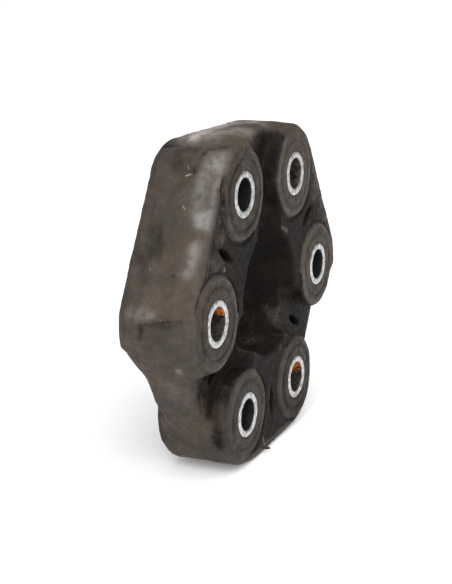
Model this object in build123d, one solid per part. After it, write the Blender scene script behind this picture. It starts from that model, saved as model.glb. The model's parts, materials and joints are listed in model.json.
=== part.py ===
from build123d import *
from math import cos, radians, sin, tan
import os

# Driveshaft flex disc.
#
# A rubber and cord coupling joins two shafts through a ring of six steel bolt sleeves. Every second
# sleeve belongs to the input flange and the others to the output flange. Cord loops are wound round
# each pair of neighbouring sleeves and moulded into one rubber body. The strong loops pull when the
# engine drives. The weak loops pull only on the overrun, so the rubber over them is thinner.
#
# Millimetres. The shaft axis is Y and the front face looks towards -Y. The origin is on the axis, half
# way through the disc. The disc stands upright on the outer flat of its lowest strong link.

# Bolt circle and sleeves
bolt_circle_diameter = 96.0
sleeve_count = 6
sleeve_length = 30.9
sleeve_outer_radius = 8.7
sleeve_bore_radius = 6.05
sleeve_mouth_chamfer = 0.4
sleeve_edge_chamfer = 0.2

# Round rubber boss over each sleeve end
boss_radius = 17.2
boss_edge_radius = 0.5
boss_pad_radius = 12.4
boss_pad_height = 0.2
sleeve_proud = 0.15

# Rubber body
rim_radius = 20.3
strong_face_drop = 0.3
weak_face_drop = 6.5
front_shoulder_radius = 2.0
back_shoulder_radius = 4.6
centre_hole_radius = 24.2
centre_hole_edge_radius = 1.3

# Valley over each weak link: a wide round trough at the rim, which narrows to a channel at the hole
trough_overrun = 0.5
trough_lip_radius = 8.0
channel_floor_width = 16.6
channel_top_width = 20.4
channel_blend_radius = 1.4

# Mould slits between the two strands of each link
slit_length = 12.6
slit_width = 2.8
slit_centre_radius = 44.2
slit_taper = 6.0
strong_slit_depth = 9.0
weak_slit_depth = 5.0

# Steel collars that guide the cord loops on the sleeves
skin_over_collar = 0.7
collar_overhang = 0.2
collar_thickness = 1.2
divider_thickness = 1.0

# Cord loops
cord_seat_thickness = 0.9
strong_loop_thickness = 7.0
strong_loop_build = 5.6
weak_loop_build = 4.0
loop_edge_radius = 0.8

# Sizes that follow from the ones above
link_angle = 360 / sleeve_count
bolt_circle_radius = bolt_circle_diameter / 2
link_middle_radius = bolt_circle_radius * cos(radians(link_angle / 2))
link_half_span = bolt_circle_radius * sin(radians(link_angle / 2))
reach = link_middle_radius + 2 * rim_radius

half_length = sleeve_length / 2
half_pad = half_length - sleeve_proud
half_boss = half_pad - boss_pad_height
half_strong = half_boss - strong_face_drop
half_weak = half_boss - weak_face_drop
trough_half_width = link_half_span + trough_overrun
trough_depth = half_strong - half_weak
trough_radius = (trough_half_width**2 + trough_depth**2) / (2 * trough_depth)

loop_inner_radius = sleeve_outer_radius + cord_seat_thickness
collar_radius = loop_inner_radius + strong_loop_build + collar_overhang
collar_top = half_boss - skin_over_collar
strong_loop_top = collar_top - collar_thickness
divider_top = strong_loop_top - strong_loop_thickness
weak_loop_top = divider_top - divider_thickness

sleeve_angles = [link_angle * i for i in range(sleeve_count)]
strong_angles = [link_angle * (i + 0.5) for i in range(0, sleeve_count, 2)]
weak_angles = [link_angle * (i + 0.5) for i in range(1, sleeve_count, 2)]
touching = 0.001

os.makedirs("parts", exist_ok=True)


# The disc is drawn lying flat: its axis is Z, its front face is up, and angles count from X. A link is
# drawn on its own at angle 0, with its middle on X, and then turned to its place.
def slab(sketch, low, high):
    return extrude(Pos(0, 0, low) * sketch, high - low)


def ring(outer_radius, inner_radius, low, high):
    return slab(Circle(outer_radius) - Circle(inner_radius), low, high)


def both_faces(shape):
    return [shape, shape.mirror(Plane.XY)]


def turned(angles, *shapes):
    return [Rot(0, 0, angle) * shape for angle in angles for shape in shapes]


# Two neighbouring sleeves with this much round each of them, as seen along the axis.
def link_outline(radius):
    return Pos(link_middle_radius, 0) * Rot(0, 0, 90) * SlotOverall(2 * (link_half_span + radius), 2 * radius)


# The edges that bound a wall standing straight on the outline of the drawing.
def edges_of_wall(shape, wall):
    def on_wall(point):
        return wall.distance_to(Vertex(point.X, point.Y, 0)) < touching

    return [e for e in shape.edges()
            if on_wall(e @ 0.1) and on_wall(e @ 0.5) and on_wall(e @ 0.9) and abs((e % 0.5).Z) < 0.9]


# The outline is a hexagon with round corners, each of them drawn about a sleeve.
def body_outline():
    hexagon = RegularPolygon(link_middle_radius + rim_radius, sleeve_count, major_radius=False)
    return fillet(hexagon.vertices(), rim_radius)


# Cross-sections of a weak link, with X across it. Both faces sink in one round trough, which starts at
# the sleeves. Near the hole two side blocks of full thickness leave only a channel of it.
def trough_section():
    section = Rectangle(2 * reach, 2 * half_strong)
    section -= [Pos(0, side * (half_weak + trough_radius)) * Circle(trough_radius) for side in (1, -1)]
    lips = [v for v in section.vertices() if abs(v.X) < reach - touching]
    return fillet(lips, trough_lip_radius)


def channel_section():
    floor, top = channel_floor_width / 2, channel_top_width / 2
    upper = [(reach, half_strong), (top, half_strong), (floor, half_weak)]
    block = Polygon(*upper, *[(x, -y) for x, y in reversed(upper)], align=None)
    section = trough_section() + [block, block.mirror(Plane.YZ)]
    bends = [v for v in section.vertices() if abs(v.X) < top + touching]
    return fillet(bends, channel_blend_radius)


# A section drawn out along the radius of the disc
def along_link(section, start, end):
    return Pos(start, 0, 0) * extrude(Plane.YZ * section, end - start)


# The share of the outline that a weak link takes up. Its sides run through the middles of the sleeves and
# meet beyond the centre hole, so they stay clear of the channel's flanks.
def share(outline):
    side = link_half_span * (centre_hole_radius + reach) / (centre_hole_radius + link_middle_radius)
    return outline & Polygon((-centre_hole_radius, 0), (reach, -side), (reach, side), align=None)


def boss():
    shape = Cylinder(boss_radius, 2 * half_boss)
    shape = fillet(shape.edges().filter_by(GeomType.CIRCLE), boss_edge_radius)
    return Pos(bolt_circle_radius, 0, 0) * (shape + Cylinder(boss_pad_radius, 2 * half_pad))


# A slit is open upwards, so that no skin is left over its mouth.
def slit(face, depth):
    mouth = Pos(slit_centre_radius, 0, face) * SlotOverall(slit_length, slit_width)
    return extrude(mouth, -depth, taper=slit_taper) + extrude(mouth, half_boss - face)


def sleeve():
    shape = ring(sleeve_outer_radius, sleeve_bore_radius, -half_length, half_length)
    rims = shape.edges().filter_by(GeomType.CIRCLE)
    shape = chamfer(rims.filter_by(lambda e: e.radius < sleeve_outer_radius), sleeve_mouth_chamfer)
    rims = shape.edges().filter_by(GeomType.CIRCLE)
    return chamfer(rims.filter_by(lambda e: e.radius > sleeve_outer_radius - touching), sleeve_edge_chamfer)


# One cord loop is a flat band wound round two sleeves, with the edges of the winding rounded.
def cord_loop(build, low, high):
    outline = link_outline(loop_inner_radius + build) - link_outline(loop_inner_radius)
    loop = slab(outline, low, high)
    return fillet([e for e in loop.edges() if abs((e % 0.5).Z) < 0.9], loop_edge_radius)


# Pieces in the rubber. Each is drawn once and turned to its places round the axis.
at_sleeve = Pos(bolt_circle_radius, 0, 0)
sleeves = turned(sleeve_angles, at_sleeve * sleeve())
collar = at_sleeve * ring(collar_radius, sleeve_outer_radius, strong_loop_top, collar_top)
collars = turned(sleeve_angles, *both_faces(collar))
divider = at_sleeve * ring(collar_radius, sleeve_outer_radius, weak_loop_top, divider_top)
dividers = turned(sleeve_angles, *both_faces(divider))
strong_loop = cord_loop(strong_loop_build, divider_top, strong_loop_top)
strong_loops = turned(strong_angles, *both_faces(strong_loop))
weak_loops = turned(weak_angles, cord_loop(weak_loop_build, -weak_loop_top, weak_loop_top))

# Rubber body: weak links with their valleys, strong links of full thickness between them, and a round
# shoulder along the whole rim
outline = body_outline()
weak_share = share(Rot(0, 0, link_angle / 2) * outline)
valley = along_link(channel_section(), 0, link_middle_radius)
valley += along_link(trough_section(), link_middle_radius, reach)
weak_link = slab(weak_share, -reach, reach) & valley
rubber = slab(outline - turned(weak_angles, weak_share), -half_strong, half_strong)
rubber += turned(weak_angles, weak_link)
for side, radius in ((1, front_shoulder_radius), (-1, back_shoulder_radius)):
    rubber = fillet([e for e in edges_of_wall(rubber, outline.wire()) if side * e.center().Z > 0], radius)

# The centre hole clears the shaft's centring spigot
rubber -= Cylinder(centre_hole_radius, 2 * reach)
rubber = fillet(edges_of_wall(rubber, Edge.make_circle(centre_hole_radius)), centre_hole_edge_radius)

rubber += turned(sleeve_angles, boss())
rubber -= turned(strong_angles, *both_faces(slit(half_strong, strong_slit_depth)))
rubber -= turned(weak_angles, *both_faces(slit(half_weak, weak_slit_depth)))

# Room for everything that is moulded in
rubber -= turned(sleeve_angles, at_sleeve * Cylinder(sleeve_outer_radius, 2 * half_length))
rubber -= [*collars, *dividers, *strong_loops, *weak_loops]


# Each piece is stood up and written. The numbers run round the axis from the sleeve on +X, and the
# front piece of a pair comes before the back one.
def write(node, shape):
    shape = Rot(90, 0, 0) * shape
    export_step(shape, f"parts/{node}.step")
    size = shape.bounding_box().size
    print(f"{node}: {len(shape.solids())} solid, {shape.volume / 1000:.2f} cm3, "
          f"{size.X:.1f} x {size.Y:.1f} x {size.Z:.1f} mm")


def write_pairs(name, shapes):
    for i, shape in enumerate(shapes):
        write(f"{name}_{('front', 'back')[i % 2]}_{i // 2 + 1}", shape)


write("rubber_body", rubber)
for i, shape in enumerate(sleeves):
    write(f"sleeve_{i + 1}", shape)
write_pairs("collar", collars)
write_pairs("divider", dividers)
write_pairs("strong_loop", strong_loops)
for i, shape in enumerate(weak_loops):
    write(f"weak_loop_{i + 1}", shape)
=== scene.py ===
# %% [markdown]
# # A used driveshaft flex disc
# A flex disc is a thick rubber ring with six steel sleeves in it. Two shaft flanges are bolted to it,
# each to every second sleeve, and cords inside the rubber carry the pull from one to the other. This one
# has been on a car: its rubber is rubbed shiny at the shoulders, with a painted highlight there, dusty
# and paler by a painted sheen on top of the rim, and torn at one edge.
#
# The construction comes ready made and stays where it is. This script gives it its looks: the worn
# rubber, the scraped ends of the sleeves, and the light.

# %% Load the construction and measure it
import bmesh
import bpy
import json
import math
import numpy as np
import openvdb
from mathutils import Matrix, Vector, noise
from mathutils.bvhtree import BVHTree

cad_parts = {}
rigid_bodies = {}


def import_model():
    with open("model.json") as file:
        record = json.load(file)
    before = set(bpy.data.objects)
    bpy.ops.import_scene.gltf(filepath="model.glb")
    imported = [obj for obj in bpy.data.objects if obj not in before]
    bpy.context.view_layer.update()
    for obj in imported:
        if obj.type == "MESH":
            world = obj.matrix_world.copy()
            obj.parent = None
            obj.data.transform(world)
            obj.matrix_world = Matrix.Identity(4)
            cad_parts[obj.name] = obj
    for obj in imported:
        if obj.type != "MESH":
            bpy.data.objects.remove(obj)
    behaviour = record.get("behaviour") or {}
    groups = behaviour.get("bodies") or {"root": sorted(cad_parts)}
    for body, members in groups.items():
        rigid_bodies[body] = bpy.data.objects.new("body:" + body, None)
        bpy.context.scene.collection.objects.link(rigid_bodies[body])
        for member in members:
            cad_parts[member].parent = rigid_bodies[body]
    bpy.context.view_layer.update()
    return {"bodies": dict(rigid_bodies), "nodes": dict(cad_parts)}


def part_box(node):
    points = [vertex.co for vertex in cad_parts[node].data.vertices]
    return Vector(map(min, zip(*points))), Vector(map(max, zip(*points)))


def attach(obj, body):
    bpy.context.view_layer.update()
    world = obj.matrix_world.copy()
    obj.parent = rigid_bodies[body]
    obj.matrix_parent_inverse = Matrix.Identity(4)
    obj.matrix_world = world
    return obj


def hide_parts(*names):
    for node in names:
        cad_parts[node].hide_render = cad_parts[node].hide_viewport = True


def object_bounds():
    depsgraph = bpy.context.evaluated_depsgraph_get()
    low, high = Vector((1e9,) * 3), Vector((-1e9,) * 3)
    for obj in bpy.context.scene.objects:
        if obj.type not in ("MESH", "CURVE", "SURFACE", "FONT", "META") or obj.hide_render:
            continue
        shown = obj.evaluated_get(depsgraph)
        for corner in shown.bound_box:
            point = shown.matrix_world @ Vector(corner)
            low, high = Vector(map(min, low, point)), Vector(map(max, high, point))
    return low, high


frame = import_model()
nodes = frame["nodes"]
body = list(frame["bodies"])[0]

MM = 0.001
sleeve_low, sleeve_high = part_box("sleeve_1")
half_length = sleeve_high.y / MM
sleeve_radius = (sleeve_high.x - sleeve_low.x) / 2 / MM
bolt_circle = (sleeve_high.x + sleeve_low.x) / 2 / MM
rubber_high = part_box("rubber_body")[1]
link_middle = bolt_circle * math.cos(math.radians(30))
rim_radius = rubber_high.z / MM - link_middle
print(f"bolt circle radius {bolt_circle:.2f}, rim {rim_radius:.2f}, half length {half_length:.2f} mm")

# %% [markdown]
# ## The rubber body as a distance field
# Moulded rubber has no sharp foot where one form grows out of another. So the body is described as a
# distance field: a formula that says how far each point of space is from the skin, negative inside. Two
# fields join with a soft foot by a smooth minimum, and meet in a round edge by a rounded maximum. A grid
# of such distances turns into a mesh where the field is zero.

# %% Ways to put fields together
def soft_join(a, b, blend):
    overlap = np.maximum(blend - np.abs(a - b), 0) / blend
    return np.minimum(a, b) - overlap**2 * blend / 4


def soft_cut(a, b, blend):
    return -soft_join(-a, b, blend)


def round_meet(a, b, radius):
    a, b = a + radius, b + radius
    return np.minimum(np.maximum(a, b), 0) + np.hypot(np.maximum(a, 0), np.maximum(b, 0)) - radius


def ramp(value, start, end):
    t = np.clip((value - start) / (end - start), 0, 1)
    return t * t * (3 - 2 * t)


def bell(value, middle, width):
    return np.exp(-((value - middle) / width)**2)


def mix(a, b, share):
    return a + (b - a) * share


# %% Sizes of the rubber in millimetres, the channel's as half widths
grid_step = 0.5
strong_drop = 0.55
pad_height = 0.2
pad_radius = 12.4
boss_radius = 17.2
hole_radius = 24.2
hole_edge = 1.3
channel_floor = 8.3
channel_top = 10.2
half_boss = rubber_high.y / MM - pad_height
half_strong = half_boss - strong_drop
print(f"half thickness {half_boss:.2f} mm at the bosses, {half_strong:.2f} mm at the strong links")

# %% [markdown]
# Where a point lies decides what form it gets. So one function works out, for any points, where they are:
# on which link, how far out along it and how far to the side of its middle, how far from the nearest sleeve,
# and at what turn about that sleeve. The grid uses it now, and the finished mesh uses it again later for the
# marks that drive the materials. The links are named as the front shows them. The strong ones are the right,
# the left and the bottom one.

# %% Where a point lies across the disc
TOP, LEFT, LOWER_LEFT, LOWER_RIGHT = 1, 2, 3, 5


def place_on_disc(x, z):
    place = {"radius": np.hypot(x, z), "angle": np.degrees(np.arctan2(z, x)) % 360}
    link = np.floor(place["angle"] / 60)
    toward = np.radians(link * 60 + 30)
    place["weak"] = link % 2 == 1
    place["link"] = link.astype(int)
    place["along"] = x * np.cos(toward) + z * np.sin(toward)
    place["across"] = np.abs(-x * np.sin(toward) + z * np.cos(toward))
    nearest = np.radians(np.round(place["angle"] / 60) * 60)
    out_x, out_z = np.cos(nearest), np.sin(nearest)
    from_x, from_z = x - bolt_circle * out_x, z - bolt_circle * out_z
    place["from_sleeve"] = np.hypot(from_x, from_z)
    sideways = np.abs(from_z * out_x - from_x * out_z)
    place["turn"] = np.degrees(np.arctan2(sideways, from_x * out_x + from_z * out_z))
    return place


def by_link(place, right, top, left, lower_left, bottom, lower_right):
    return np.choose(place["link"], [right, top, left, lower_left, bottom, lower_right])


# %% The grid
margin = 4 * grid_step
reach_x, reach_y, reach_z = (high / MM + margin for high in (rubber_high.x, sleeve_high.y, rubber_high.z))
axis_x, axis_y, axis_z = (np.arange(-reach, reach, grid_step, dtype=np.float32)
                          for reach in (reach_x, reach_y, reach_z))
spot = place_on_disc(*np.meshgrid(axis_x, axis_z, indexing="ij"))
radius, angle, along, across = spot["radius"], spot["angle"], spot["along"], spot["across"]
link, weak, from_sleeve, turn = spot["link"], spot["weak"], spot["from_sleeve"], spot["turn"]
print(f"grid of {len(axis_x)} x {len(axis_y)} x {len(axis_z)} points")

# %% [markdown]
# The outline is a hexagon with round corners, swollen and worn a little out of true. The table says by how
# many millimetres, every five degrees round the disc from sleeve 1, with a row for each link.

# %% The outline
half_side = bolt_circle / 2
table_step = 5
out_of_true = [1.6, 1.7, 1.3, 0.9, 1.0, 1.0, 0.8, 0.7, 0.8, 0.8, 0.7, -0.1,
               -1.0, -0.8, -0.1, 0.7, 0.7, 0.3, 0.0, 0.2, 0.6, 0.6, 0.8, -0.4,
               -0.6, 0.0, 0.1, 0.2, 0.5, 0.5, 0.5, 0.6, 0.8, 0.9, 0.7, 0.1,
               -0.2, 1.2, 1.0, 0.1, -0.2, -0.5, -0.8, -1.2, -2.1, -2.9, -2.6, -1.5,
               -1.1, -0.9, -0.1, 0.8, 0.9, 1.0, 0.9, 0.7, 0.6, 0.2, -0.2, -0.6,
               -1.2, -2.2, -1.6, -1.2, -0.9, -0.5, -0.2, 0.2, 0.5, 1.4, 1.7, 1.9]


def worn(degrees):
    half_degrees = np.arange(720) / 2
    known = np.arange(len(out_of_true) + 1) * table_step
    table = np.interp(half_degrees, known, [*out_of_true, out_of_true[0]])
    smooth = np.mean([np.roll(table, shift) for shift in range(-4, 5)], axis=0)
    return np.interp(degrees.ravel(), half_degrees, smooth).reshape(degrees.shape)


beyond_side = along - link_middle
past_corner = np.hypot(np.maximum(across - half_side, 0), beyond_side)
hexagon = np.where((beyond_side > 0) & (across > half_side), past_corner, beyond_side)
outline = hexagon - rim_radius - worn(angle)
print(f"outline worn by up to {-min(out_of_true)} mm and swollen by up to {max(out_of_true)} mm")

# %% [markdown]
# A weak link has a valley on both faces. It leaves two things standing: the corner round each sleeve and,
# towards the hole, a block on either side of a channel. The turn about the sleeve fades one into the other.
# The foot and the edge are the roundings below and above the wall.

# %% What a valley leaves standing
toward_channel = ramp(turn, 45, 90)
past_rim = rim_radius + 4
channel_wall = boss_radius - 0.3
channel_foot = 1.6
rim_edge = 3.2


def valley_side(depth, wall, foot, edge, channel_edge, wall_turn=2):
    wall = mix(past_rim, wall, ramp(turn, wall_turn, 32))
    past_wall = from_sleeve - mix(wall, channel_wall, toward_channel)
    in_valley = ramp(past_wall, -1, 5) * ramp(along, link_middle + 2, link_middle + 10)
    return {"depth": depth, "lean": (channel_top - channel_floor) / depth, "past_wall": past_wall,
            "foot": mix(foot, channel_foot, toward_channel),
            "edge": mix(mix(rim_edge, edge, in_valley), channel_edge, toward_channel)}


# %% The valleys of this disc
# The lower right one has steeper walls in front, and the wall beside sleeve 1 bulges.
bulge = 0.9 * bell(angle, 350.5, 3)
steep_wall = np.where(angle < 330, 17.0, 19.0 + bulge)
front_wall = np.where(link == LOWER_RIGHT, steep_wall, 20.3)
front_depth = np.where(link == LOWER_RIGHT, 6.0, 6.3)
front_edge = by_link(spot, 0, 5.0, 0, 7.5, 0, 2.4)
front_valley = valley_side(front_depth, front_wall, 9.0, front_edge, 1.2)

# behind sleeve 4 the wall starts further round the corner
back_turn = np.where((angle > 180) & (angle < 210), 9, 2)
back_depth = np.where(link == TOP, 5.3, 5.7)
back_valley = valley_side(back_depth, 16.6, 11.0, 4.2, 2.0, back_turn)
print(f"valleys {front_depth.max()} mm deep in front, {back_depth.max()} mm behind")

# %% Bosses, creases and the left link, which is the one rubbed most
at_left_link = ramp(angle, 108, 120) * (1 - ramp(angle, 180, 192))
boss_foot = np.where(weak, mix(0.35, channel_foot, ramp(turn, 50, 90)), 0.35)
boss_foot = boss_foot + 2.4 * at_left_link * (1 - ramp(turn, 12, 48))

# the side of a boss is worn back beside sleeve 6 and, at the back only, beside sleeve 5
worn_back = 0.9 * ramp(angle, 303, 312) * (1 - ramp(angle, 322, 330))
worn_behind = 0.9 * ramp(angle, 211, 217) * (1 - ramp(angle, 228, 234))

# the crease round the foot of a boss fades towards the rim
crease_gap = 0.4
crease_height = 0.2
crease_radius = 0.95
crease_fade = 1.6 * (1 - ramp(turn, 12, 40))

# the rim leans in towards the front, most of all on the left link
crown_height = 9
crown = 0.2 + 1.2 * at_left_link
print(f"rim leans in by {crown.min():.1f} to {crown.max():.1f} mm")

# %% Slits, lens-shaped and blind
slit_half_width = 1.75
slit_half_length = 6.6
slit_lean = 0.1
strong_slit_depth = 9
weak_slit_depth = 5


def slit_side(place):
    middle = np.where(place["link"] == LEFT, 45.4, 44.2)
    return place["across"] - slit_half_width * (1 - ((place["along"] - middle) / slit_half_length)**2)


# %% [markdown]
# Now the forms go together, from the largest to the smallest: the slab with its shoulders and valleys, the
# bosses and the pads on them, then what is cut away. All that was worked out so far is a plane of values
# across the disc, and flat() lets it act at every height.

# %% The slab and the bosses
front_shoulder = 2.0
back_shoulder = 4.6
front_boss_edge = 1.0
back_boss_edge = 2.6


def flat(plane):
    return plane[:, None, :].astype(np.float32)


def valley(side, form):
    lean = np.maximum(half_strong - side, 0) * flat(form["lean"])
    block = np.maximum(flat(channel_top - across) - lean, flat(along - link_middle))
    standing = np.minimum(flat(form["past_wall"]), block)
    return soft_join(standing, side - flat(half_strong - form["depth"]), flat(form["foot"]))


def slab_field(y):
    slab = flat(outline) + flat(crown) * ramp(-y, half_strong - crown_height, half_strong)
    for side, shoulder, form in ((-y, front_shoulder, front_valley), (y, back_shoulder, back_valley)):
        slab = round_meet(slab, side - half_strong, shoulder)
        slab = np.where(flat(weak), round_meet(slab, valley(side, form), flat(form["edge"])), slab)
    return slab


def boss_field(y):
    wall = flat(from_sleeve - boss_radius + worn_back) + flat(worn_behind) * (y > 0)
    return round_meet(wall, np.abs(y) - half_boss, np.where(y < 0, front_boss_edge, back_boss_edge))


# %% Pads, ring marks, the hole, creases and slits
pad_edge = 0.2
ring_gap = 0.7
ring_radius = 0.35


def skin_field(y):
    height = np.abs(y)
    skin = soft_join(slab_field(y), boss_field(y), flat(boss_foot))
    pad = round_meet(flat(from_sleeve - pad_radius), height - half_boss - pad_height, pad_edge)
    skin = soft_join(skin, pad, pad_edge)
    ring_mark = np.hypot(flat(from_sleeve - pad_radius - ring_gap), height - half_boss) - ring_radius
    skin = soft_cut(skin, ring_mark, 0.3)
    skin = round_meet(skin, flat(hole_radius - radius), hole_edge)
    crease = np.hypot(flat(from_sleeve - boss_radius - crease_gap), height - half_strong - crease_height)
    skin = np.where(flat(weak), skin, soft_cut(skin, crease - crease_radius + flat(crease_fade), 0.5))
    face = flat(half_strong - np.where(weak, front_valley["depth"], 0))
    bottom = face - np.where(flat(weak), weak_slit_depth, strong_slit_depth)
    slit = np.maximum(flat(slit_side(spot)) + (face - height) * slit_lean, bottom - height)
    skin = soft_cut(skin, slit, 0.6)
    return np.maximum(skin, flat(sleeve_radius - from_sleeve)).astype(np.float32)


# %% From the field to a mesh
grid = openvdb.FloatGrid()
grid.copyFromArray(skin_field(axis_y[None, :, None]))
points, _, quads = grid.convertToPolygons(isovalue=0.0, adaptivity=0.0)
points = points * grid_step + np.array([axis_x[0], axis_y[0], axis_z[0]])
print(f"rubber skin: {len(points)} points, {len(quads)} faces")

# %% [markdown]
# ## Creases, cuts and ragged lips
# A used disc has marks that belong to one place each: creases, cuts and pits on its left side, wrinkles at
# the top, and a lip of flash that the mould left along two front edges. Each is a path on the skin with a
# width and a depth, which is below zero where the mark stands up. Points near the path move along their
# normal, and a mark that stands up gets a ragged height.

# %% Meshes and paths
def mesh_piece(name, points, faces):
    mesh = bpy.data.meshes.new(name)
    mesh.from_pydata(points, [], faces)
    mesh.shade_smooth()
    piece = bpy.data.objects.new(name, mesh)
    bpy.context.scene.collection.objects.link(piece)
    return piece


def read_points(mesh):
    values = np.empty(3 * len(mesh.vertices), dtype=np.float32)
    mesh.vertices.foreach_get("co", values)
    return values.reshape(-1, 3).astype(float) / MM


def read_normals(mesh):
    values = np.empty(3 * len(mesh.vertices), dtype=np.float32)
    mesh.vertex_normals.foreach_get("vector", values)
    return values.reshape(-1, 3)


def near_path(points, path, width):
    distance = np.full(len(points), np.inf)
    for start, end in zip(path, [*path[1:], path[-1]]):
        start, run = np.array(start), np.array(end) - np.array(start)
        share = np.clip((points - start) @ run / max(run @ run, 1e-9), 0, 1)
        distance = np.minimum(distance, np.linalg.norm(points - start - share[:, None] * run, axis=1))
    return bell(distance, 0, width)


# %% The marks: name, width, depth and path in millimetres
marks = [
    ("crease across the left corner", 1.0, 1.0, [(-68.1, 4, 2.6), (-68, -1.2, 3.7), (-67.8, -6.3, 4.4)]),
    ("its end", 1.0, 0.6, [(-67.8, -6.3, 4.4), (-67.4, -10.6, 5.4)]),
    ("its branch", 0.8, 0.35, [(-68.1, 4.1, 2.4), (-68.1, 4.2, 0.3), (-67.8, 4.5, -2)]),
    ("crease beside the upper boss", 0.9, 0.5,
     [(-39.6, -14.5, 47.6), (-40.4, -14.9, 42.5), (-39, -15.1, 35.2), (-35.9, -15.1, 31.1)]),
    ("long line on the left side", 0.9, 0.12,
     [(-38.7, 11.4, 54.8), (-47.1, 8.6, 42.2), (-56.3, 5.4, 26.6), (-65.1, 1.3, 11.5)]),
    ("pit", 0.9, 0.6, [(-60.7, -5.5, 19.1)]),
    ("cut", 0.6, 0.5, [(-36.5, -5.4, 58), (-34.8, -7.6, 58.8)]),
    ("second cut", 0.6, 0.4, [(-38.3, -4.6, 56.5), (-37.2, -6.4, 57.5)]),
    ("wrinkle", 0.7, 0.5, [(1.2, -8.4, 59.5), (4.5, -9.2, 58.2), (5.2, -9.6, 55.5)]),
    ("second wrinkle", 0.7, 0.45, [(3.8, -9.4, 56.6), (7.2, -9.2, 57.8), (8.4, -8.4, 59.4)]),
    ("third wrinkle", 0.6, 0.4, [(0.8, -9.4, 56), (3, -9.8, 53.5)]),
    ("dent in the lower left link", 3.5, 0.5, [(-52, -3, -33)]),
    ("crack at the hole", 0.8, 0.5, [(-19.4, -9, -16.2), (-16.6, -10.4, -19.6), (-16.4, -13.7, -21.2)]),
    ("pit below sleeve 4", 1.0, 1.2, [(-45.4, -8.3, -22.1), (-45.4, -8.7, -23.5), (-44.8, -9, -26)]),
    ("lip of the right link", 1.0, -0.7, [(49.6, -14.6, 35.6), (55.6, -14.6, 25), (61.4, -14.6, 14.2)]),
    ("lip of the bottom link", 1.0, -0.5, [(13, -14.6, -60.9), (2, -14.6, -61), (-9, -14.6, -60.4)]),
]
path_of = {name: path for name, width, depth, path in marks}

# %% Make the mesh and press the marks in
skin_faces = quads[:, ::-1].tolist()
rubber = mesh_piece("rubber_skin", points.tolist(), skin_faces)
normals = read_normals(rubber.data)
surface = BVHTree.FromPolygons(points.tolist(), skin_faces)


def on_skin(path):
    return [tuple(surface.find_nearest(Vector(place))[0]) for place in path]


def ragged(points, amount):
    height = np.zeros(len(points))
    for i in np.flatnonzero(amount > 0.02):
        height[i] = 0.5 + noise.noise(points[i] * 0.55) * 1.2 + noise.noise(points[i] * 1.6) * 0.6
    return np.maximum(height, 0)


for name, width, depth, path in marks:
    amount = near_path(points, on_skin(path), width)
    if depth < 0:
        amount = amount * ragged(points, amount)
    points = points - normals * (amount * depth)[:, None]
    print(f"{name}: {np.count_nonzero(amount > 0.1)} points moved, {abs(depth)} mm")
rubber.data.vertices.foreach_set("co", (points * MM).astype(np.float32).ravel())
rubber.data.update()

# %% [markdown]
# ## Uneven skin with Geometry Nodes
# Old rubber is never quite flat: it has shallow dents and a fine grain. A node tree moves every point of
# the skin along its normal by two noise patterns, a wide one and a fine one. Their depths and sizes are
# inputs of the tree, so the same tree can wear another part. A Decimate modifier after it thins the faces
# where the skin is flat.

# %% Helpers for node trees
def fill(tree, node, inputs):
    for key, value in inputs.items():
        if isinstance(value, bpy.types.NodeSocket):
            tree.links.new(value, node.inputs[key])
        else:
            node.inputs[key].default_value = value


def add(tree, kind, inputs=(), **settings):
    made = tree.nodes.new(kind)
    for name, value in settings.items():
        setattr(made, name, value)
    fill(tree, made, dict(inputs))
    return made


def new_group(name, kind, inputs, outputs):
    tree = bpy.data.node_groups.new(name, kind)
    for label, socket, value in inputs:
        made = tree.interface.new_socket(label, in_out="INPUT", socket_type=socket)
        if value is not None:
            made.default_value = value
    for label, socket in outputs:
        tree.interface.new_socket(label, in_out="OUTPUT", socket_type=socket)
    return tree, tree.nodes.new("NodeGroupInput").outputs, tree.nodes.new("NodeGroupOutput").inputs


def set_inputs(modifier, values):
    for item in modifier.node_group.interface.items_tree:
        if item.in_out == "INPUT" and item.name in values:
            modifier[item.identifier] = values[item.name]


def plain_mesh(piece):
    made = bpy.data.meshes.new_from_object(piece.evaluated_get(bpy.context.evaluated_depsgraph_get()))
    piece.modifiers.clear()
    piece.data = made
    made.calc_loop_triangles()
    print(f"{piece.name}: {len(made.loop_triangles)} triangles")
    return made


# %% The tree that wears the skin
rubber_look = bpy.data.materials.new("used rubber")
tree, given, result = new_group(
    "uneven skin", "GeometryNodeTree",
    [("Skin", "NodeSocketGeometry", None), ("Dent depth", "NodeSocketFloat", 0.0006),
     ("Dents per metre", "NodeSocketFloat", 90.0), ("Grain depth", "NodeSocketFloat", 0.0002),
     ("Grains per metre", "NodeSocketFloat", 420.0), ("Seed", "NodeSocketFloat", 3.0),
     ("Finish", "NodeSocketMaterial", None)], [("Skin", "NodeSocketGeometry")])
place = add(tree, "GeometryNodeInputPosition").outputs[0]
moves = []
for size, depth in (("Dents per metre", "Dent depth"), ("Grains per metre", "Grain depth")):
    pattern = add(tree, "ShaderNodeTexNoise", {"Vector": place, "Scale": given[size], "W": given["Seed"],
                                               "Detail": 2.0}, noise_dimensions="4D").outputs["Fac"]
    centred = add(tree, "ShaderNodeMath", {0: pattern, 1: 0.5}, operation="SUBTRACT").outputs[0]
    moves.append(add(tree, "ShaderNodeMath", {0: centred, 1: given[depth]}, operation="MULTIPLY").outputs[0])
move = add(tree, "ShaderNodeMath", {0: moves[0], 1: moves[1]}, operation="ADD").outputs[0]
normal = add(tree, "GeometryNodeInputNormal").outputs[0]
offset = add(tree, "ShaderNodeVectorMath", {"Vector": normal, "Scale": move}, operation="SCALE").outputs[0]
moved = add(tree, "GeometryNodeSetPosition", {"Geometry": given["Skin"], "Offset": offset}).outputs[0]
real = add(tree, "GeometryNodeRealizeInstances", {"Geometry": moved}).outputs[0]
painted = add(tree, "GeometryNodeSetMaterial", {"Geometry": real, "Material": given["Finish"]}).outputs[0]
tree.links.new(painted, result[0])

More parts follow.
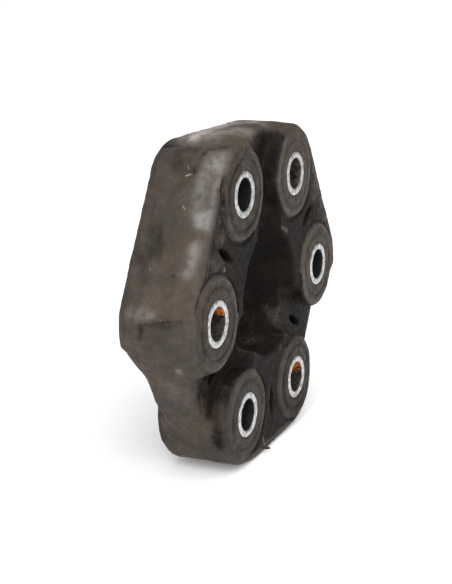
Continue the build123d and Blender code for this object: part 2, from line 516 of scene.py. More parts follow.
wear = rubber.modifiers.new("uneven skin", "NODES")
wear.node_group = tree
set_inputs(wear, {"Dent depth": 0.0009, "Dents per metre": 75.0, "Grain depth": 0.00028,
                  "Grains per metre": 380.0, "Seed": 3.0, "Finish": rubber_look})
thin = rubber.modifiers.new("thin", "DECIMATE")
thin.ratio = 0.38
skin_mesh = plain_mesh(rubber)
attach(rubber, body)
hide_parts("rubber_body")

# %% [markdown]
# ## Where dirt, dust and rubbing sit, with painted shade and light
# Dirt gathers where nothing touches, in the valleys, and painted shade darkens the valleys too, as well as
# the hole, the slits, the creases and the feet of the bosses. The flanges' washers keep the faces of the
# bosses cleaner, and hands and tools rub the shoulders, where a painted highlight lies as well. The top of
# the rim gets dust and a painted sheen, and the lip of the hole a painted highlight. These amounts are
# worked out for each point of the skin from its place and stored with the mesh, and the material reads them
# by name.

# %% Where each point of the skin lies
def store(mesh, name, amounts):
    mesh.attributes.new(name, "FLOAT", "POINT").data.foreach_set("value", amounts.astype(np.float32))


def spots(points, places):
    amount = 0
    for width, strength, path in places:
        path = path_of[path] if isinstance(path, str) else path
        amount = amount + strength * near_path(points, on_skin(path), width)
    return np.clip(amount, 0, 1)


points = read_points(skin_mesh)
spot = place_on_disc(points[:, 0], points[:, 2])
link, weak, turn = spot["link"], spot["weak"], spot["turn"]
radius, from_sleeve = spot["radius"], spot["from_sleeve"]
sleeve_no = (np.round(spot["angle"] / 60) % 6).astype(int) + 1
beyond = spot["along"] - link_middle
depth = half_strong - np.abs(points[:, 1])
off_boss = ramp(from_sleeve, boss_radius - 0.4, boss_radius + 0.6)
on_rim = ramp(beyond, rim_radius - 4.5, rim_radius - 1.2)
print(f"{len(points)} points, {np.count_nonzero(weak)} of them on the weak links")

# %% Dirt and painted shade in the valleys
# Both darken the valleys. They thin out towards the rim and up the walls beside the bosses. The lower left
# valley is lighter.
dirt_start = by_link(spot, 0, 14.5, 0, 5.5, 0, 14.5)
dirt_end = by_link(spot, 1, 20.5, 1, 15.5, 1, 20.5)
in_valley = weak * off_boss * (1 - ramp(beyond, dirt_start, dirt_end))
beside_boss = 1 - ramp(turn, 45, 70)
in_valley = in_valley * np.where(depth < 9, mix(1, ramp(depth, 0.9, 3.2), beside_boss), 1 - on_rim)
lighter_lower_left = (link == LOWER_LEFT) * ramp(radius, 42, 53) * mix(0.25, 0.45, ramp(spot["angle"], 212, 224))
in_valley = in_valley * (1 - lighter_lower_left)
print(f"valleys: mean {in_valley[weak].mean():.2f}")

# %% Dirt on the faces of the strong links
# Their outer halves are cleaner, and there is a clean patch on the left one.
clean_patch = near_path(points, on_skin([(-49.8, -14.6, 22.6), (-46.5, -14.5, 19.7)]), 3.5)
link_face = ~weak * off_boss * (1 - ramp(depth, 0.8, 3)) * (1 - on_rim) * ramp(turn, 8, 30)
link_face = link_face * (1 - 0.5 * clean_patch)
outer_start = by_link(spot, 48, 0, 44, 0, 50, 0)
outer_half = ramp(spot["along"], outer_start, outer_start + 5) * by_link(spot, 0.5, 0, 0.42, 0, 0.1, 0)
print(f"strong links: mean {link_face[~weak].mean():.2f}")

# %% Painted shade in the hole, blackest at the top, and a painted highlight on its lip
in_hole = 1 - ramp(radius, hole_radius + 0.6, hole_radius + 2.2)
hole_shade = 1.7 - 1.05 * ramp(-points[:, 2], 0, 15)
forward = -read_normals(skin_mesh)[:, 1]
lip_highlight = bell(forward, 0.55, 0.25) * (1 - ramp(radius, hole_radius + 1.4, hole_radius + 2.6))
print(f"hole: {np.count_nonzero(in_hole > 0.5)} points")

# %% Dirt on the bosses, some darkening in their ring marks, and painted shade round their feet
boss_dirt = np.choose(sleeve_no - 1, [0.22, 0.15, 0.36, 0.28, 0.28, 0.4]) * (1 - off_boss)
ring_line = 0.15 * bell(from_sleeve - pad_radius, ring_gap, 0.6) * (depth < 1)
shade_round_boss = bell(from_sleeve - boss_radius, 0.5, 0.8) * (1 - ramp(depth, 1, 2.5))
shade_round_boss = shade_round_boss * ramp(turn, 15, 45) * np.where(sleeve_no == 5, 0.4, 1)
shade_round_boss = shade_round_boss * np.where((link == TOP) & (turn < 60), 0.25, 1)
shade_round_boss = shade_round_boss * np.where((link == LOWER_LEFT) & (sleeve_no == 4), 0.4, 1)
print(f"bosses: {np.count_nonzero(off_boss < 0.5)} points")

# %% Painted shade in the slits
face_depth = depth - np.where(weak, front_depth.max(), 0)
in_slit = (slit_side(spot) < 0.4) * ramp(face_depth, 0.5, 1.6) * (radius > hole_radius + 4)
print(f"slits: {np.count_nonzero(in_slit > 0.5)} points")

# %% Stains and painted shade: width, strength and a path or the name of a mark
stains_and_shade = [
    (4, 0.35, [(-53, 5, 33), (-56, 3, 27)]), (4, 0.35, [(-39.6, 4, 54.6), (-41.5, -2, 51.5)]),
    (3.4, 0.35, [(-40.9, -11.6, -47), (-42.5, -12, -40)]),
    # painted shade on the valley floor below sleeve 4, in this line and the next
    (3.5, 0.7, [(-45.6, -8.8, -23.9), (-41, -8.8, -30)]),
    (4.2, 0.65, [(-50.2, -8.2, -24.7), (-48.8, -8.3, -28.5), (-43.5, -8.8, -34.5)]),
    # painted shade in the pit below sleeve 4, in the creases and at the foot of the upper boss, in this line
    # and the next two
    (1.1, 1.3, "pit below sleeve 4"), (1.4, 0.45, "crease across the left corner"), (1.3, 0.35, "its end"),
    (0.9, 0.35, "its branch"), (0.9, 0.6, "crease beside the upper boss"),
    (1.6, 0.4, [(-42.4, -13.9, 46.3), (-41, -14.2, 40.8), (-40.2, -15, 37.2)]),
    (1.0, 0.4, [(-34.7, -5.8, 58.6), (-38.7, -5.8, 55.7), (-41.8, -4.5, 51.5)]),
    (2.5, 0.3, [(-35.3, 3.6, 58.2), (-33.7, 1.3, 59.2), (-35, -2.1, 58.5)]),
    (2.4, 0.36, [(-42.5, -11, -43), (-41.5, -9.9, -46.1), (-40.2, -10.8, -49.1)]),
    (2, 0.3, [(-61, 13.8, -10.8), (-66.8, 6.9, -9.3)]),
    (3.2, 1.2, [(35.2, -8.5, -14.2), (42.5, -8.6, -19.9)]),
    (7, 0.12, [(-63, -1.7, -15.6), (-58.2, -3.3, -22.4)]), (3, 0.3, [(-67, 1, -4)]),
    # the entries named after marks, in this line and the next, are painted shade in the pit, the crack, the
    # cuts and the wrinkles
    (4, 0.3, [(-62, 6, 17), (-58, 9, 24)]), (0.8, 0.6, "pit"), (0.9, 1.0, "crack at the hole"),
    (0.7, 0.7, "cut"), (0.7, 0.6, "second cut"), (1.6, 0.6, "second wrinkle"), (1.4, 0.6, "third wrinkle")]
print(f"{len(stains_and_shade)} stains")

# %% All the dirt and painted shade together, the darkest layer winning
layers = [in_valley * (1 - in_hole), link_face * (1 - outer_half), hole_shade * in_hole, 0.85 * shade_round_boss,
          boss_dirt + ring_line, 1.7 * in_slit, spots(points, stains_and_shade)]
grime_and_shade = np.maximum.reduce(layers) * (1 - 0.5 * lip_highlight)

# %% Dust and a painted sheen on the top of the disc, small spots of dust on the left side, and a painted highlight on the lip of the hole
dust_and_sheen_on_top = [
    (3.4, 1.0, [(-27, 4.4, 62.1), (-20, 3.9, 62.6), (-10, 4.6, 62.4), (0.6, 5.7, 62.1), (8.3, 5.1, 62.3)]),
    (3, 0.9, [(9, 4, 62.4), (11.5, 0, 62.5), (13, -4, 62.3)]),
    (6, 0.5, [(-23.8, -1, 62.3), (-14.8, -3, 62.3), (-4.9, -4, 61.8)])]
dust_on_left = [
    (2.2, 0.3, [(-67.6, 8, 6.5), (-67.5, 1.4, 6.9)]), (5, 0.12, [(-58, -3, -24)]),
    (0.9, 0.35, [(-64.3, -7.5, -12.3), (-63.2, -8.1, -14)])]
dust_and_sheen = np.maximum(spots(points, dust_and_sheen_on_top + dust_on_left), 0.22 * lip_highlight)

# %% Rubbing with a painted highlight on the left link's shoulder, and rubbing round the front edges of the bosses
shoulder_rub_and_glare = [
    (3.2, 0.52, [(-44.5, -7.5, 47), (-41, -8.4, 52.4), (-36.5, -10.8, 57.4)]),
    (2.2, 0.52, [(-39, -11, 54.2), (-34.3, -11.8, 58.6)]),
    (2.6, 0.38, [(-46.6, -7.5, 43), (-49.3, -7.8, 38)]),
    (2.1, 0.85, [(-48.9, -11, 38.6), (-50.3, -10.6, 35.6)]),
    (2.1, 0.6, [(-54.8, -10.4, 28.2), (-57.6, -10.4, 23.6), (-59.4, -9.8, 20.4)]),
    (1.4, 0.35, [(-40, -13.8, 55), (-46, -13.6, 46), (-52, -13.6, 35)])]
boss_edges = bell(from_sleeve - boss_radius, -1, 0.9) * (depth < 1) * (points[:, 1] < 0)
edge_shine = np.where(sleeve_no == 5, 0.05, 0.15) * boss_edges * ramp(turn, 40, 70)
rub_and_glare = np.clip(spots(points, shoulder_rub_and_glare) + edge_shine, 0, 1)

# %% Store the amounts with the mesh
for name, amounts in (("grime_and_shade", grime_and_shade), ("dust_and_sheen", dust_and_sheen), ("rub_and_glare", rub_and_glare)):
    store(skin_mesh, name, amounts)
    print(f"{name}: mean {amounts.mean():.2f}, highest {amounts.max():.2f}")

# %% [markdown]
# ## A torn rag of rubber
# At the bottom a thin strip of rubber has torn loose from the front edge. It is a tapering strip along a
# short bent path, five-sided and closed at both ends, and a Subdivision Surface modifier rounds it.

# %% The rag
rag_path = [(-10.4, -13.4, -58.6), (-9, -14.5, -59.9), (-8, -15.2, -60.6), (-6.9, -15.6, -61),
            (-6, -15.9, -61.2), (-5.2, -16.2, -61.5)]
rag_widths = [2.0, 2.2, 1.9, 1.5, 1.1, 0.5]
rag_thickness = 0.9
sides = 5


def rag_ring(place, width):
    turns = [2 * math.pi * side / sides for side in range(sides)]
    return [Vector(place) + Vector((0.25 * width * math.cos(a), 0.3 * rag_thickness * math.sin(a),
                                    0.5 * width * math.sin(a))) for a in turns]


rag_rings = [rag_ring(place, width) for place, width in zip(rag_path, rag_widths)]
rag_points = (np.array(rag_rings).reshape(-1, 3) * MM).tolist()
rag_faces = [[start + a, start + b, start + sides + b, start + sides + a]
             for start in range(0, len(rag_points) - sides, sides)
             for a, b in [(j, (j + 1) % sides) for j in range(sides)]]
rag_ends = [[*reversed(range(sides))], [*range(len(rag_points) - sides, len(rag_points))]]
rag = mesh_piece("torn_rag", rag_points, rag_faces + rag_ends)
shape = bmesh.new()
shape.from_mesh(rag.data)
bmesh.ops.recalc_face_normals(shape, faces=shape.faces)
shape.to_mesh(rag.data)
shape.free()

# %% Round the rag and paint it as the body
rounder = rag.modifiers.new("rounder", "SUBSURF")
rounder.levels = rounder.render_levels = 2
rag_mesh = plain_mesh(rag)
rag_mesh.materials.clear()
rag_mesh.materials.append(rubber_look)
for name, amount in (("grime_and_shade", 0.55), ("dust_and_sheen", 0.1), ("rub_and_glare", 0.0)):
    store(rag_mesh, name, np.full(len(rag_mesh.vertices), amount))
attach(rag, body)

# %% [markdown]
# ## Worn sleeves with Geometry Nodes
# All six sleeves are the same steel tube, so one tree draws them: a rounded oblong is swept round a circle,
# stood up along the disc's axis and moved to its place. The ends were clamped against flanges and have
# small dents, which a noise makes there and nowhere else. Each sleeve gets its own seed.

# %% The tree that draws a sleeve
steel_look = bpy.data.materials.new("worn sleeve steel")
tree, given, result = new_group(
    "worn sleeve", "GeometryNodeTree",
    [("Outer radius", "NodeSocketFloat", 0.0087), ("Bore radius", "NodeSocketFloat", 0.006),
     ("Length", "NodeSocketFloat", 0.03), ("Edge", "NodeSocketFloat", 0.0003),
     ("Dent depth", "NodeSocketFloat", 0.0002), ("Place", "NodeSocketVector", None),
     ("Seed", "NodeSocketFloat", 0.0), ("Finish", "NodeSocketMaterial", None)],
    [("Sleeve", "NodeSocketGeometry")])


def calc(operation, a, b):
    return add(tree, "ShaderNodeMath", {0: a, 1: b}, operation=operation).outputs[0]


radii = calc("ADD", given["Outer radius"], given["Bore radius"])
circle = add(tree, "GeometryNodeCurvePrimitiveCircle",
             {"Resolution": 88, "Radius": calc("MULTIPLY", radii, 0.5)})
upright = add(tree, "GeometryNodeSetCurveNormal", {"Curve": circle.outputs[0]}, mode="Z_UP").outputs[0]
wall = calc("SUBTRACT", given["Outer radius"], given["Bore radius"])
oblong = add(tree, "GeometryNodeCurvePrimitiveQuadrilateral", {"Width": wall, "Height": given["Length"]})
rounded = add(tree, "GeometryNodeFilletCurve", {"Curve": oblong.outputs[0], "Radius": given["Edge"],
                                                "Count": 4}, mode="POLY").outputs[0]
even = add(tree, "GeometryNodeResampleCurve", {"Curve": rounded, "Count": 84}).outputs[0]
tube = add(tree, "GeometryNodeCurveToMesh", {"Curve": upright, "Profile Curve": even}).outputs[0]
stood = add(tree, "GeometryNodeTransform", {"Geometry": tube, "Translation": given["Place"],
                                            "Rotation": (math.pi / 2, 0, 0)}).outputs[0]
place = add(tree, "GeometryNodeInputPosition").outputs[0]
height = calc("ABSOLUTE", add(tree, "ShaderNodeSeparateXYZ", {0: place}).outputs["Y"], 0.0)
at_end = calc("GREATER_THAN", height, calc("SUBTRACT", calc("MULTIPLY", given["Length"], 0.5), 0.0002))
dents = add(tree, "ShaderNodeTexNoise", {"Vector": place, "W": given["Seed"], "Scale": 700.0, "Detail": 2.0},
            noise_dimensions="4D").outputs["Fac"]
inward = calc("MULTIPLY", calc("MULTIPLY", calc("MAXIMUM", calc("SUBTRACT", dents, 0.5), 0.0), -2.0), at_end)
normal = add(tree, "GeometryNodeInputNormal").outputs[0]
inward = calc("MULTIPLY", inward, given["Dent depth"])
offset = add(tree, "ShaderNodeVectorMath", {"Vector": normal, "Scale": inward}, operation="SCALE").outputs[0]
dented = add(tree, "GeometryNodeSetPosition", {"Geometry": stood, "Offset": offset}).outputs[0]
soft = add(tree, "GeometryNodeSetShadeSmooth", {"Geometry": dented}).outputs[0]
real = add(tree, "GeometryNodeRealizeInstances", {"Geometry": soft}).outputs[0]
painted = add(tree, "GeometryNodeSetMaterial", {"Geometry": real, "Material": given["Finish"]}).outputs[0]
tree.links.new(painted, result[0])

# %% The six sleeves
# The bores of sleeves 4 and 6 have a rusty patch, each a width and a path. The others get a spot in the
# middle of the disc, too far off to show. Some bores are paler brown, each by its listed amount.
bore_radius = 6.05
rusty = {4: (2.3, [(-43.2, -14.9, 3.9), (-43.2, -13, 3.6)]),
         6: (3.4, [(28.8, -12, -38.4), (28.2, -7, -37.8)])}
no_rust = (1, [(0, 0, 0)])
bore_paling = [0.0, 0.8, 0.0, 0.6, 0.1, 0.4]
for number in range(1, 7):
    sleeve = bpy.data.objects.new(f"worn_sleeve_{number}", bpy.data.meshes.new("sleeve"))
    bpy.context.scene.collection.objects.link(sleeve)
    draw = sleeve.modifiers.new("worn sleeve", "NODES")
    draw.node_group = tree
    a = math.radians(60 * (number - 1))
    set_inputs(draw, {"Outer radius": sleeve_radius * MM, "Bore radius": bore_radius * MM,
                      "Length": 2 * half_length * MM, "Edge": 0.00035, "Dent depth": 0.0005,
                      "Place": (bolt_circle * math.cos(a) * MM, 0.0, bolt_circle * math.sin(a) * MM),
                      "Seed": float(number), "Finish": steel_look})
    mesh = plain_mesh(sleeve)
    width, path = rusty.get(number, no_rust)
    store(mesh, "rust", near_path(read_points(mesh), path, width))
    store(mesh, "bore_paling", np.full(len(mesh.vertices), bore_paling[number - 1]))
    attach(sleeve, body)
    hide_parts(f"sleeve_{number}")

# %% [markdown]
# ## Patterns that several materials share
# Mottling and rust turn up on more than one material, and specks and scratches could. So each is a shader
# group with named inputs, built once. A group gives out only masks and colours, and the material decides
# what they do.

# %% Helpers for materials
def shade(tree, operation, a, b=0.0):
    return add(tree, "ShaderNodeMath", {0: a, 1: b}, operation=operation).outputs[0]


def stretch(tree, value, low, high, to_low=0.0, to_high=1.0):
    return add(tree, "ShaderNodeMapRange", {0: value, 1: low, 2: high, 3: to_low, 4: to_high},
               interpolation_type="SMOOTHSTEP").outputs[0]


def noise_at(tree, vector, scale, detail=4.0, rough=0.6):
    return add(tree, "ShaderNodeTexNoise", {"Vector": vector, "Scale": scale, "Detail": detail,
                                            "Roughness": rough}).outputs["Fac"]


def use(tree, group, inputs, output="Mask"):
    return add(tree, "ShaderNodeGroup", inputs, node_tree=group).outputs[output]


def blend(tree, share, a, b):
    return add(tree, "ShaderNodeMix", {0: share, 6: a, 7: b}, data_type="RGBA").outputs[2]


def start_look(material):
    material.use_nodes = True
    tree = material.node_tree
    vector = add(tree, "ShaderNodeTexCoord").outputs["Object"]
    return tree, vector, tree.nodes["Principled BSDF"]


def amount_of(tree, name):
    return add(tree, "ShaderNodeAttribute", attribute_name=name).outputs["Fac"]


def bump(tree, shader, height, distance, strength):
    made = add(tree, "ShaderNodeBump", {"Height": height, "Distance": distance, "Strength": strength})
    tree.links.new(made.outputs[0], shader.inputs["Normal"])


# %% Mottling and specks
mottling, given, result = new_group(
    "mottling", "ShaderNodeTree",
    [("Vector", "NodeSocketVector", None), ("Scale", "NodeSocketFloat", 40.0),
     ("Low", "NodeSocketFloat", 0.4), ("High", "NodeSocketFloat", 0.6)], [("Mask", "NodeSocketFloat")])
wander = add(mottling, "ShaderNodeTexNoise", {"Vector": given["Vector"], "Scale": given["Scale"],
                                              "Detail": 6.0, "Roughness": 0.62,
                                              "Distortion": 0.6}).outputs["Fac"]
mottling.links.new(stretch(mottling, wander, given["Low"], given["High"]), result["Mask"])

specks, given, result = new_group(
    "specks", "ShaderNodeTree",
    [("Vector", "NodeSocketVector", None), ("Scale", "NodeSocketFloat", 300.0),
     ("Rarity", "NodeSocketFloat", 0.9)], [("Mask", "NodeSocketFloat")])
cells = add(specks, "ShaderNodeTexVoronoi", {"Vector": given["Vector"], "Scale": given["Scale"]})
chance = add(specks, "ShaderNodeSeparateColor", {0: cells.outputs["Color"]}).outputs[0]
chosen = shade(specks, "GREATER_THAN", chance, given["Rarity"])
dot = stretch(specks, cells.outputs["Distance"], 0.34, 0.12)
specks.links.new(shade(specks, "MULTIPLY", chosen, dot), result["Mask"])

# %% A scratch: how near a point is to a straight line on the skin
scratch, given, result = new_group(
    "scratch", "ShaderNodeTree",
    [("Vector", "NodeSocketVector", None), ("Start", "NodeSocketVector", None),
     ("Run", "NodeSocketVector", None), ("Width", "NodeSocketFloat", 0.0003)], [("Mask", "NodeSocketFloat")])


def vector_math(operation, a, b, output=0):
    return add(scratch, "ShaderNodeVectorMath", {0: a, 1: b}, operation=operation).outputs[output]


from_start = vector_math("SUBTRACT", given["Vector"], given["Start"])
share = add(scratch, "ShaderNodeMath", {0: vector_math("DOT_PRODUCT", from_start, given["Run"], 1),
                                        1: vector_math("DOT_PRODUCT", given["Run"], given["Run"], 1)},
            operation="DIVIDE", use_clamp=True).outputs[0]
nearest = add(scratch, "ShaderNodeVectorMath", {0: given["Run"], "Scale": share},
              operation="SCALE").outputs[0]
away = vector_math("DISTANCE", from_start, nearest, 1)
scratch.links.new(stretch(scratch, away, given["Width"], 0.0), result["Mask"])

# %% Rust
rust, given, result = new_group(
    "rust", "ShaderNodeTree",
    [("Vector", "NodeSocketVector", None), ("Amount", "NodeSocketFloat", 0.5),
     ("Scale", "NodeSocketFloat", 500.0)], [("Mask", "NodeSocketFloat"), ("Color", "NodeSocketColor")])
patchy = stretch(rust, noise_at(rust, given["Vector"], given["Scale"], 6.0, 0.7), 0.25, 0.72)
edge = shade(rust, "SUBTRACT", shade(rust, "ADD", given["Amount"], patchy), 1.0)
rust.links.new(stretch(rust, edge, 0.0, 0.25), result["Mask"])
tones = add(rust, "ShaderNodeMix", {0: patchy, 6: (0.1, 0.02, 0.005, 1), 7: (0.72, 0.19, 0.02, 1)},
            data_type="RGBA").outputs[2]
rust.links.new(tones, result["Color"])


def rusted(tree, vector, base, amount, scale):
    made = add(tree, "ShaderNodeGroup", {"Vector": vector, "Amount": amount, "Scale": scale}, node_tree=rust)
    return made.outputs["Mask"], blend(tree, made.outputs["Mask"], base, made.outputs["Color"])


# %% [markdown]
# ## Scratches, a highlight and lines of shade
# A few short pale scratches sit at known places, most of them on the left side, one pale line is a painted
# highlight on the edge of the hole, and the creases have a thin dark line of painted shade at their bottom.
# Each is a straight line on the skin with a width and a strength, or a chain of such lines. The "scratch"
# group turns it into a mask, sharper than the mesh could hold.

# %% Where they are: width, strength, and start and end in millimetres or the name of a mark
scratches_and_highlight = [
    (0.5, 0.8, (-42.1, -1.3, 50.4), (-41.7, -3.4, 51.2)), (0.4, 0.4, (-40.2, -1.2, 53.6), (-41, -1.8, 52.5)),
    (0.5, 0.4, (-48, -2.6, 41), (-48.6, -3.8, 40)), (0.5, 0.5, (-59.8, 4.6, 21), (-60.1, 4.1, 20.6)),
    (0.4, 0.7, (-60.3, -7.1, 20.2), (-60.3, -7.3, 20)), (0.5, 0.25, (-67.8, -2.9, 5.6), (-67.8, -3.2, 5.5)),
    (0.6, 0.3, (-44.7, -14.6, 37.5), (-44.3, -14.7, 35.9)),
    (0.9, 0.35, (-40.5, -14.5, 18.2), (-40.2, -14.4, 17)),
    (0.6, 0.6, (-8.4, -14.6, -56.4), (-7.1, -14.4, -59.9)),
    # the last one is a painted highlight on the edge of the hole near sleeve 2
    (1.2, 0.25, (12.1, -14.4, 22.5), (17.3, -14.3, 20.1))]
# thin lines of painted shade at the bottom of the creases
crease_shade_lines = [
    (0.7, 0.75, "crease across the left corner"), (0.6, 0.6, "its end"), (0.5, 0.4, "its branch"),
    (0.5, 0.6, "crease beside the upper boss"), (0.4, 0.3, "long line on the left side")]
print(f"{len(scratches_and_highlight)} scratches, {len(crease_shade_lines)} dark lines")

# %% [markdown]
# ## Used rubber
# New rubber is black. This one has gone brown-grey in blotches. Grime and painted shade are nearly black,
# dust and a painted sheen are pale and pinkish, and rubbed places are paler and glossier, with a painted
# highlight on the left shoulder. Each of the three masks is broken up by a noise, so that none has an even
# border.

# %% The rubber's own colour
brown_grey, brown = (0.045, 0.0385, 0.033, 1), (0.064, 0.048, 0.036, 1)
faded, dark_grain = (0.09, 0.074, 0.06, 1), (0.03, 0.023, 0.018, 1)
tree, vector, shader = start_look(rubber_look)
blotch = use(tree, mottling, {"Vector": vector, "Scale": 46.0, "Low": 0.42, "High": 0.6})
patch = use(tree, mottling, {"Vector": vector, "Scale": 115.0, "Low": 0.46, "High": 0.66})
fine = use(tree, mottling, {"Vector": vector, "Scale": 420.0, "Low": 0.36, "High": 0.66})
base = blend(tree, blotch, brown_grey, brown)
base = blend(tree, shade(tree, "MULTIPLY", patch, 0.4), base, faded)
base = blend(tree, shade(tree, "MULTIPLY", fine, 0.34), base, dark_grain)

# %% Grime with painted shade, dust with a painted sheen, scuffs with a painted highlight, and specks on it
black_grime_and_shade, brown_grime_and_shade = (0.0058, 0.0046, 0.0040, 1), (0.0135, 0.0088, 0.0066, 1)
pale_dust_and_sheen, grey_scuff_and_glare, pale_speck = (0.4, 0.345, 0.325, 1), (0.235, 0.23, 0.222, 1), (0.4, 0.37, 0.33, 1)
grime_and_shade = amount_of(tree, "grime_and_shade")
smear = shade(tree, "ADD", noise_at(tree, vector, 90.0, 6.0), shade(tree, "MULTIPLY", fine, 0.12))
broken_grime_and_shade = shade(tree, "MULTIPLY", grime_and_shade, stretch(tree, smear, 0.28, 0.66, 0.55, 1.5))
grime_and_shade_share = stretch(tree, broken_grime_and_shade, 0.05, 0.95)
base = blend(tree, grime_and_shade_share, base, blend(tree, patch, black_grime_and_shade, brown_grime_and_shade))
patchy_dust_and_sheen = stretch(tree, noise_at(tree, vector, 260.0), 0.34, 0.6, 0.3, 1.0)
dust_and_sheen_share = shade(tree, "MULTIPLY", amount_of(tree, "dust_and_sheen"), patchy_dust_and_sheen)
# paler by dust, by the painted sheen on top, and by the painted highlight on the hole's lip
base = blend(tree, shade(tree, "MULTIPLY", dust_and_sheen_share, 0.88), base, pale_dust_and_sheen)
streaks = stretch(tree, noise_at(tree, vector, 230.0, 6.0, 0.7), 0.34, 0.6, 0.25, 1.0)
scuff_and_glare = shade(tree, "MULTIPLY", amount_of(tree, "rub_and_glare"), streaks)
# paler where rubbed, and on the left shoulder paler still by a painted highlight
base = blend(tree, shade(tree, "MULTIPLY", scuff_and_glare, 0.5), base, grey_scuff_and_glare)
speck = use(tree, specks, {"Vector": vector, "Scale": 900.0, "Rarity": 0.985})
base = blend(tree, shade(tree, "MULTIPLY", speck, 0.12), base, pale_speck)

# %% Scratches, a painted highlight, and thin lines of painted shade on it
pale_scratch_and_highlight, crease_shade = (0.42, 0.39, 0.35, 1), (0.012, 0.009, 0.008, 1)
finished_skin = BVHTree.FromObject(rubber, bpy.context.evaluated_depsgraph_get())
broken = stretch(tree, noise_at(tree, vector, 1800.0), 0.4, 0.58)
lines = [(width, strength, start, end, pale_scratch_and_highlight) for width, strength, start, end in scratches_and_highlight]
lines += [(width, strength, start, end, crease_shade) for width, strength, name in crease_shade_lines
          for start, end in zip(path_of[name], path_of[name][1:])]
for width, strength, start, end, colour in lines:
    start, end = (finished_skin.find_nearest(Vector(place) * MM)[0] for place in (start, end))
    mark = use(tree, scratch, {"Vector": vector, "Start": start, "Run": end - start, "Width": width * MM})
    mark = shade(tree, "MULTIPLY", shade(tree, "MULTIPLY", mark, broken), strength)
    base = blend(tree, mark, base, colour)
print(f"{len(lines)} lines on the rubber")

# %% Gloss and relief
rough = stretch(tree, fine, 0.0, 1.0, 0.5, 0.66)
rough = shade(tree, "SUBTRACT", rough, shade(tree, "MULTIPLY", scuff_and_glare, 0.24))
rough = shade(tree, "ADD", rough, shade(tree, "MULTIPLY", grime_and_shade_share, 0.1))
relief = shade(tree, "ADD", noise_at(tree, vector, 650.0, 6.0, 0.7), shade(tree, "MULTIPLY", speck, 0.5))
bump(tree, shader, relief, 0.0006, 0.6)
fill(tree, shader, {"Base Color": base, "Roughness": rough, "Coat Weight": scuff_and_glare,
                    "Coat Roughness": 0.36, "Specular IOR Level": 0.11})
print(f"{rubber_look.name}: {len(tree.nodes)} nodes")

# %% [markdown]
# ## Worn sleeve steel
# The ends shine where the washers scraped them. The bore is near black with a skin of rust, and two
# of the bores have a bright orange patch high on one side.

# %% Worn sleeve steel
scraped_dark, scraped_bright = (0.24, 0.24, 0.24, 1), (0.66, 0.66, 0.66, 1)
bore_black, bore_grey = (0.002, 0.002, 0.003, 1), (0.008, 0.007, 0.008, 1)
pale_bore_brown = (0.075, 0.058, 0.042, 1)
tree, vector, shader = start_look(steel_look)
height = shade(tree, "ABSOLUTE", add(tree, "ShaderNodeSeparateXYZ", {0: vector}).outputs["Y"])
end_face = stretch(tree, height, (half_length - 0.45) * MM, (half_length - 0.1) * MM)
scraped = use(tree, mottling, {"Vector": vector, "Scale": 520.0, "Low": 0.32, "High": 0.62})
bright = blend(tree, scraped, scraped_dark, scraped_bright)
bore = blend(tree, scraped, bore_black, bore_grey)
bore = blend(tree, shade(tree, "MULTIPLY", amount_of(tree, "bore_paling"), scraped), bore, pale_bore_brown)
base = blend(tree, end_face, bore, bright)
in_bore = shade(tree, "SUBTRACT", 1.0, end_face)
amount = shade(tree, "MULTIPLY", amount_of(tree, "rust"), in_bore)
red, base = rusted(tree, vector, base, amount, 900.0)
bare = shade(tree, "MULTIPLY", end_face, shade(tree, "SUBTRACT", 1.0, red))
fill(tree, shader, {"Base Color": base, "Metallic": bare, "Specular IOR Level": 0.2,
                    "Roughness": stretch(tree, bare, 0.0, 1.0, 0.7, 0.36)})
bump(tree, shader, shade(tree, "ADD", scraped, noise_at(tree, vector, 1500.0)), 0.00015, 0.35)
print(f"{steel_look.name}: {len(tree.nodes)} nodes")

# %% [markdown]
# ## What lies inside
# The steel collars and the cord loops are moulded in and don't show, but someone may cut the part open.
# The collars are pressed steel with a thin bloom of rust, and the cords are dipped brown yarn wound side
# by side, so their pattern runs round the loop.

# %% Collars
pressed_dark, pressed_pale = (0.24, 0.24, 0.25, 1), (0.46, 0.46, 0.45, 1)
collar_look = bpy.data.materials.new("pressed collar steel")
tree, vector, shader = start_look(collar_look)
cloudy = use(tree, mottling, {"Vector": vector, "Scale": 220.0, "Low": 0.35, "High": 0.7})
base = blend(tree, cloudy, pressed_dark, pressed_pale)
fill(tree, shader, {"Base Color": rusted(tree, vector, base, 0.22, 260.0)[1], "Metallic": 0.85,
                    "Roughness": stretch(tree, cloudy, 0.0, 1.0, 0.34, 0.55)})
print(f"{collar_look.name}: {len(tree.nodes)} nodes")

# %% Cords
yarn_dark, yarn_pale, dip_brown = (0.09, 0.045, 0.02, 1), (0.34, 0.2, 0.1, 1), (0.05, 0.03, 0.02, 1)
cord_look = bpy.data.materials.new("dipped cord")
tree, vector, shader = start_look(cord_look)
strands = add(tree, "ShaderNodeTexWave", {"Vector": vector, "Scale": 260.0, "Distortion": 1.2,
                                          "Detail": 2.0}, bands_direction="Y").outputs["Fac"]
patches = use(tree, mottling, {"Vector": vector, "Scale": 90.0, "Low": 0.35, "High": 0.7})
base = blend(tree, strands, yarn_dark, yarn_pale)
base = blend(tree, shade(tree, "MULTIPLY", patches, 0.5), base, dip_brown)
fill(tree, shader, {"Base Color": base, "Roughness": 0.8})
bump(tree, shader, strands, 0.0004, 0.6)
print(f"{cord_look.name}: {len(tree.nodes)} nodes")

# %% Paint the inner pieces
inner = {name: node for name, node in nodes.items() if not name.startswith(("rubber", "sleeve"))}
for name, node in inner.items():
    node.data.materials.clear()
    node.data.materials.append(cord_look if "loop" in name else collar_look)
print(f"{len(inner)} inner pieces painted")

# %% [markdown]
# ## Floor, light and camera
# The photograph has a plain white ground and soft, even light from above left. A wide pale floor under a
# large soft sun stays evenly bright, and a softbox close on the left gives the rubbed shoulder its sheen.

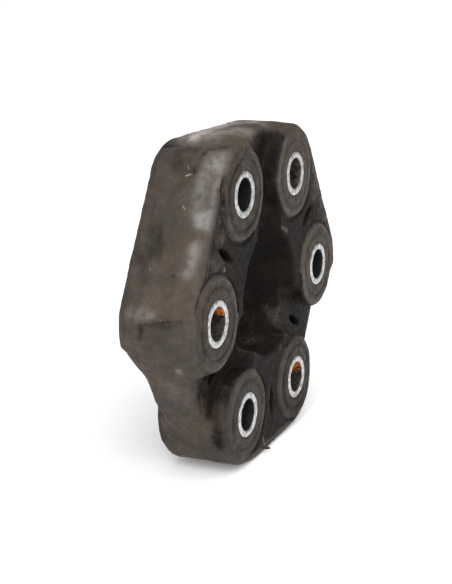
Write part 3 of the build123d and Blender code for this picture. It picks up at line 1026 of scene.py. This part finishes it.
# %% Floor
floor_size = 30.0
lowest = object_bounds()[0].z
bpy.ops.mesh.primitive_plane_add(size=floor_size, location=(0, 0, lowest))
floor = bpy.context.object
floor.name = "floor"
floor_look = bpy.data.materials.new("pale floor")
tree, vector, shader = start_look(floor_look)
fill(tree, shader, {"Base Color": (0.93, 0.93, 0.93, 1), "Roughness": 0.9, "Specular IOR Level": 0.0,
                    "Emission Color": (1, 1, 1, 1), "Emission Strength": 0.12})
floor.data.materials.append(floor_look)
print(f"floor at {lowest / MM:.1f} mm")

# %% Light
# The ground is white to the camera, and the disc gets less light from it.
bpy.context.scene.view_settings.view_transform = "Standard"
world = bpy.data.worlds.new("studio")
bpy.context.scene.world = world
world.use_nodes = True
tree = world.node_tree
fill_level = 0.42
seen = add(tree, "ShaderNodeLightPath").outputs["Is Camera Ray"]
level = stretch(tree, seen, 0.0, 1.0, fill_level, 1.0)
fill(tree, tree.nodes["Background"], {"Color": (1, 1, 1, 1), "Strength": level})


def lamp(name, kind, place, **settings):
    light = bpy.data.lights.new(name, kind)
    for key, value in settings.items():
        setattr(light, key, value)
    made = bpy.data.objects.new(name, light)
    made.location = place
    made.rotation_euler = (-Vector(place)).to_track_quat("-Z", "Y").to_euler()
    bpy.context.scene.collection.objects.link(made)
    print(f"{name}: {kind.lower()} light, strength {light.energy:.1f}")


lamp("soft sun", "SUN", (-0.5, -0.6, 0.85), energy=2.8, angle=math.radians(100))
lamp("softbox", "AREA", (-0.55, -0.2, 0.35), shape="RECTANGLE", size=0.3, size_y=0.5, energy=2.0)

# %% Camera
# The photograph is taller than wide, so its height spans the sensor.
front_face = sleeve_low.y
camera_place = Vector((-0.4323, front_face - 0.1846, 0.1241))
camera_right = Vector((0.42296, -0.90598, -0.01780))
camera_up = Vector((0.23846, 0.09233, 0.96675))
photo_height = 584
focal_pixels = 1276.6
camera_data = bpy.data.cameras.new("photo camera")
camera_data.sensor_width = 36.0
camera_data.lens = camera_data.sensor_width * focal_pixels / photo_height
camera = bpy.data.objects.new("photo camera", camera_data)
bpy.context.scene.collection.objects.link(camera)
axes = Matrix((camera_right, camera_up, camera_right.cross(camera_up))).transposed()
camera.matrix_world = Matrix.Translation(camera_place) @ axes.to_4x4()
bpy.context.scene.camera = camera
print(f"lens {camera_data.lens:.1f} mm")
